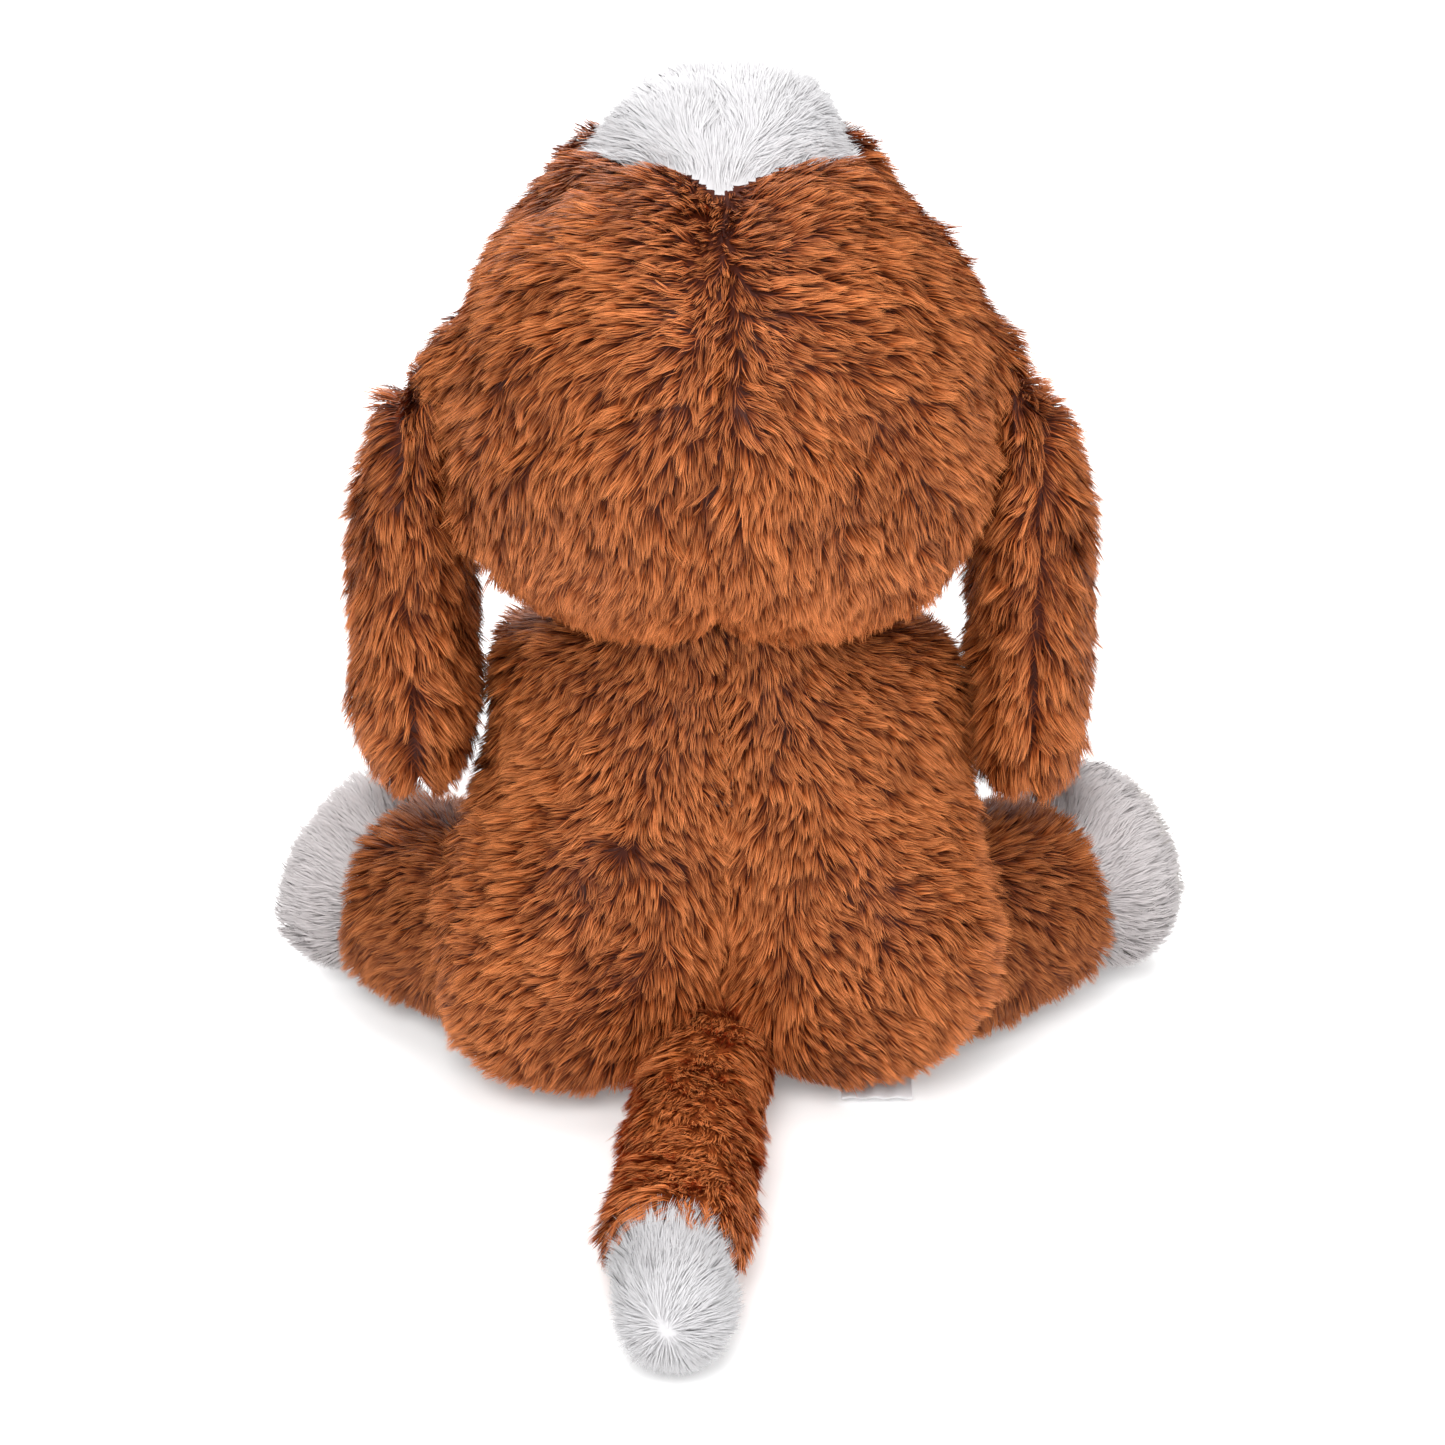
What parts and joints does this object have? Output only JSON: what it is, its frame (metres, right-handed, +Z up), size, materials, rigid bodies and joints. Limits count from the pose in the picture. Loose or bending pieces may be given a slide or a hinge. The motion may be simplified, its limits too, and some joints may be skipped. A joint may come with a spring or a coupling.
{
  "type": "plush dog",
  "caption": "Sitting long-pile plush dog, rust brown with white muzzle, feet and tail tip, hanging ears, and limbs, head and tail that move.",
  "frame": {"origin": "on the floor, on the trunk's middle line, below the neck", "axes": "+Z up; the dog faces -Y, its tail points to +Y and its left side is +X"},
  "size_m": [0.286, 0.3341, 0.302],
  "materials": {
    "brown_pile": "long rust-brown pile",
    "white_pile": "long white pile",
    "sole_plush": "short white plush",
    "fibre_filling": "loose polyester fibre",
    "bean_pellets": "plastic pellets",
    "pouch_cloth": "thin woven bag cloth",
    "eye_plastic": "polished dark brown",
    "nose_plastic": "polished black",
    "washer_plastic": "natural white",
    "seam_thread": "brown sewing thread",
    "mouth_thread": "black sewing thread",
    "label_satin": "blank white satin tape"
  },
  "bodies": {
    "torso": {"care_label": "label_satin", "closing_stitches": "seam_thread", "pellet_pouch": "pouch_cloth", "pellets": "bean_pellets", "torso_back_left": "brown_pile", "torso_back_right": "brown_pile", "torso_belly": "brown_pile", "torso_filling": "fibre_filling"},
    "neck": {"neck_filling": "fibre_filling"},
    "head": {"eye_left": "eye_plastic", "eye_right": "eye_plastic", "eye_washers": "washer_plastic", "face_panel": "white_pile", "head_filling": "fibre_filling", "head_left": "brown_pile", "head_right": "brown_pile", "mouth_stitching": "mouth_thread", "nose": "nose_plastic", "nose_washer": "washer_plastic"},
    "arm_left": {"arm_left_filling": "fibre_filling", "arm_left_paw": "white_pile", "arm_left_sleeve": "brown_pile"},
    "arm_right": {"arm_right_filling": "fibre_filling", "arm_right_paw": "white_pile", "arm_right_sleeve": "brown_pile"},
    "ear_left": {"ear_left_lining": "brown_pile", "ear_left_outer": "brown_pile"},
    "ear_right": {"ear_right_lining": "brown_pile", "ear_right_outer": "brown_pile"},
    "leg_left": {"leg_left_filling": "fibre_filling", "leg_left_foot": "white_pile", "leg_left_sleeve": "brown_pile", "leg_left_sole": "sole_plush"},
    "leg_right": {"leg_right_filling": "fibre_filling", "leg_right_foot": "white_pile", "leg_right_sleeve": "brown_pile", "leg_right_sole": "sole_plush"},
    "tail": {"tail_filling": "fibre_filling", "tail_sleeve": "brown_pile", "tail_tip": "white_pile"}
  },
  "joints": [
    {"name": "head_turn", "type": "hinge", "parent": "torso", "child": "neck", "pos_m": [0, 0, 0.15], "axis": [0, 0, 1], "range_deg": [-15, 15]},
    {"name": "head_nod", "type": "hinge", "parent": "neck", "child": "head", "pos_m": [0, 0, 0.15], "axis": [1, 0, 0], "range_deg": [-6, 12]},
    {"name": "tail_wag", "type": "hinge", "parent": "torso", "child": "tail", "pos_m": [0.004, 0.07, 0.018], "axis": [0, 0, 1], "range_deg": [-30, 30]},
    {"name": "ear_left_lift", "type": "hinge", "parent": "head", "child": "ear_left", "pos_m": [0.095, -0.008, 0.205], "axis": [0, -1, 0], "range_deg": [0, 75]},
    {"name": "arm_left_swing", "type": "hinge", "parent": "torso", "child": "arm_left", "pos_m": [0.055, -0.016, 0.114], "axis": [-1, 0, 0], "range_deg": [-10, 30]},
    {"name": "leg_left_splay", "type": "hinge", "parent": "torso", "child": "leg_left", "pos_m": [0.062, 0.018, 0.03], "axis": [0, 0, 1], "range_deg": [-10, 20]},
    {"name": "ear_right_lift", "type": "hinge", "parent": "head", "child": "ear_right", "pos_m": [-0.095, -0.008, 0.205], "axis": [0, 1, 0], "range_deg": [0, 75]},
    {"name": "arm_right_swing", "type": "hinge", "parent": "torso", "child": "arm_right", "pos_m": [-0.055, -0.016, 0.114], "axis": [-1, 0, 0], "range_deg": [-10, 30]},
    {"name": "leg_right_splay", "type": "hinge", "parent": "torso", "child": "leg_right", "pos_m": [-0.062, 0.018, 0.03], "axis": [0, 0, -1], "range_deg": [-10, 20]}
  ]
}
